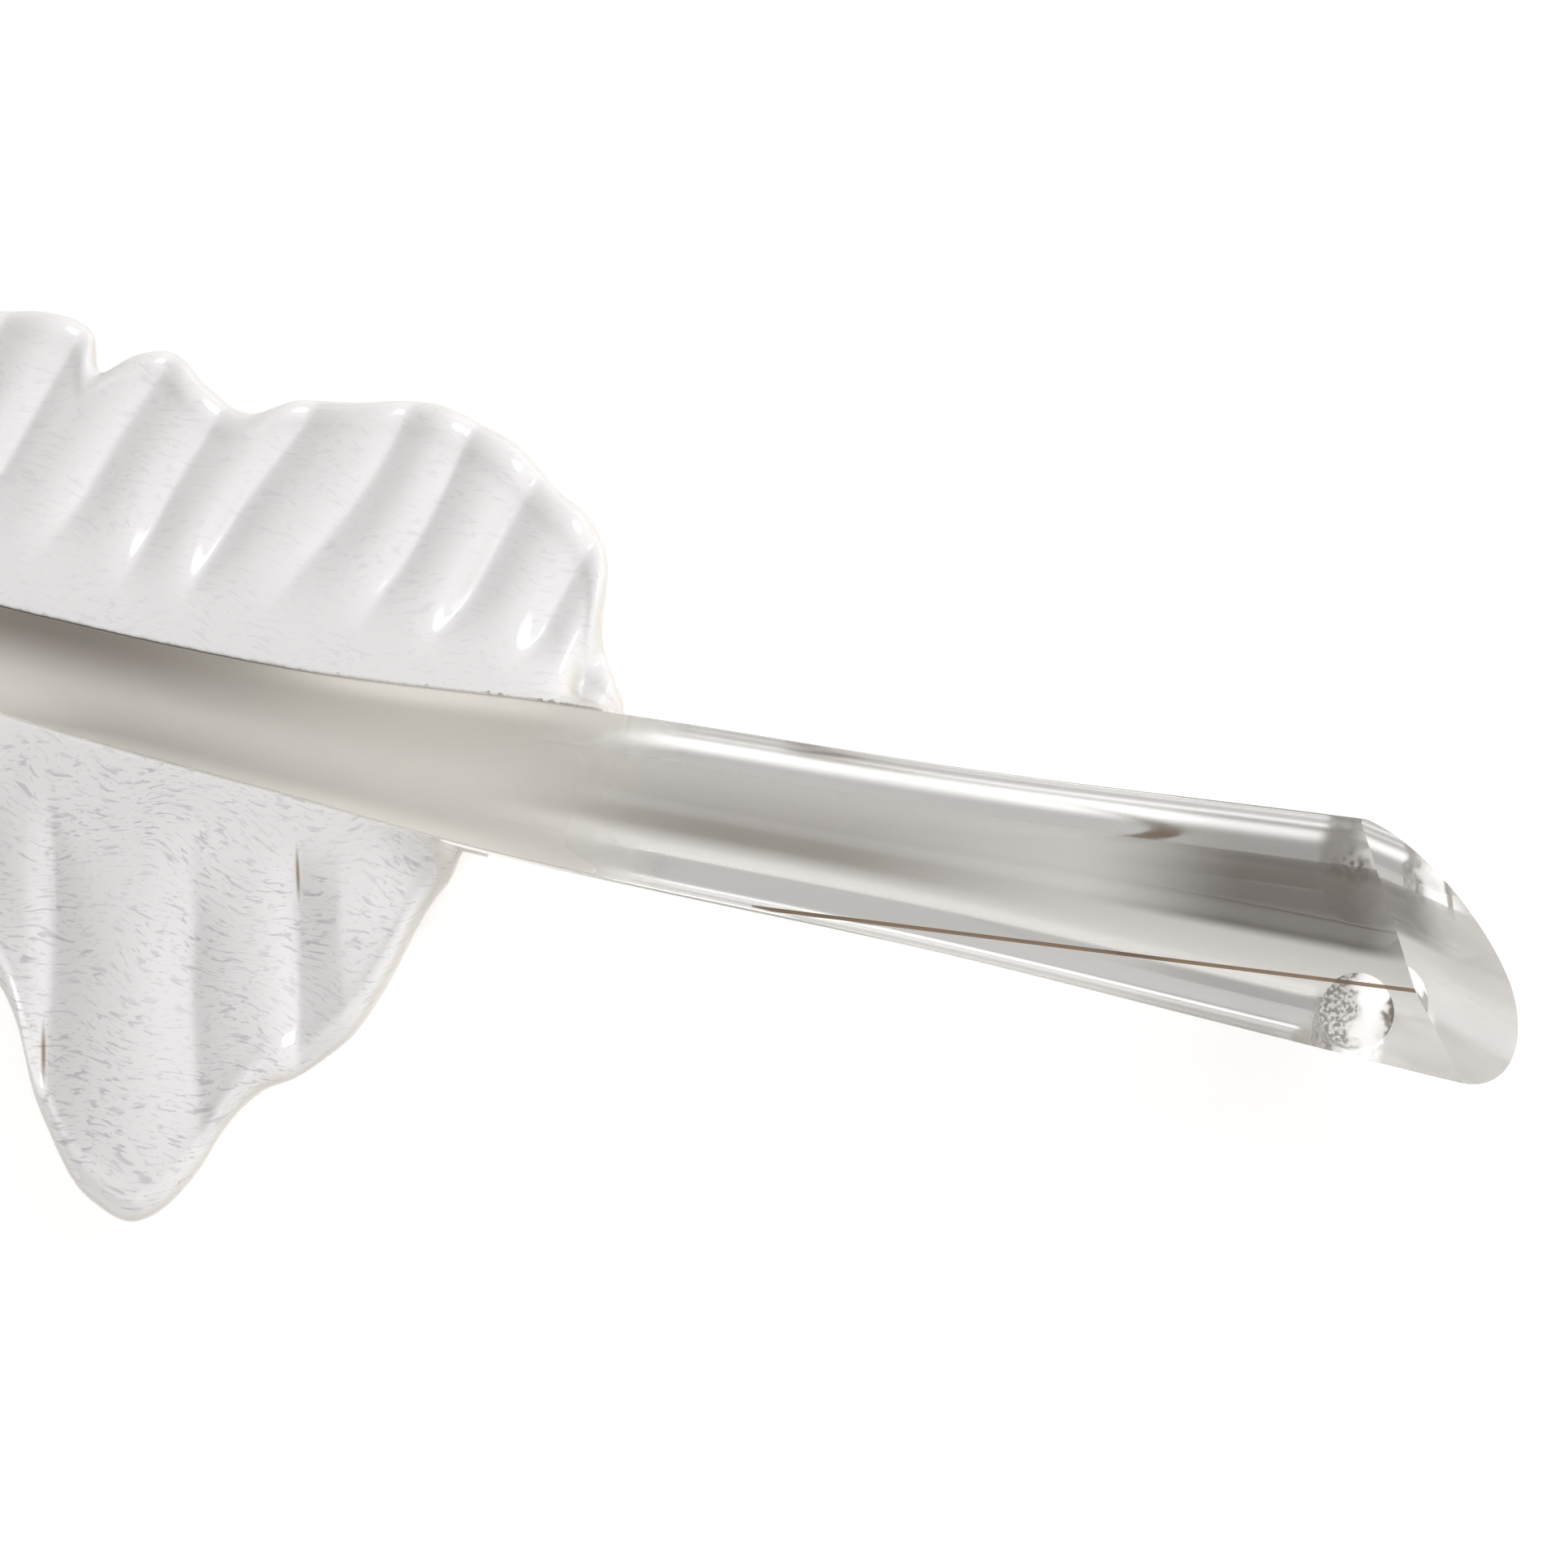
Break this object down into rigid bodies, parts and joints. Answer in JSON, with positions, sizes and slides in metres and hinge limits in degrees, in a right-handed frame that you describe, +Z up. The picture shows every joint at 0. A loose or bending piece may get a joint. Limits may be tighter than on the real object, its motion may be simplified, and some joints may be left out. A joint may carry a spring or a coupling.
{
  "type": "glass quill feather ornament",
  "caption": "Ornamental glass quill feather: clear tapering shaft with a polished flat and an oblique pen-cut end, between pleated white glass vanes.",
  "frame": {"origin": "on the surface it lies on, under the middle of the box", "axes": "+X along the shaft towards the pen-cut end, +Z up out of the polished flat"},
  "size_m": [0.3118, 0.1024, 0.016],
  "materials": {
    "clear_crystal": "clear, cut and polished, flat left bare; pin hole ground matt",
    "white_glass": "opaque white with fine grey flecks, fire-polished and glossy"
  },
  "bodies": {
    "root": {"quill_shaft": "clear_crystal", "far_vane": "white_glass", "near_vane": "white_glass"}
  },
  "joints": []
}
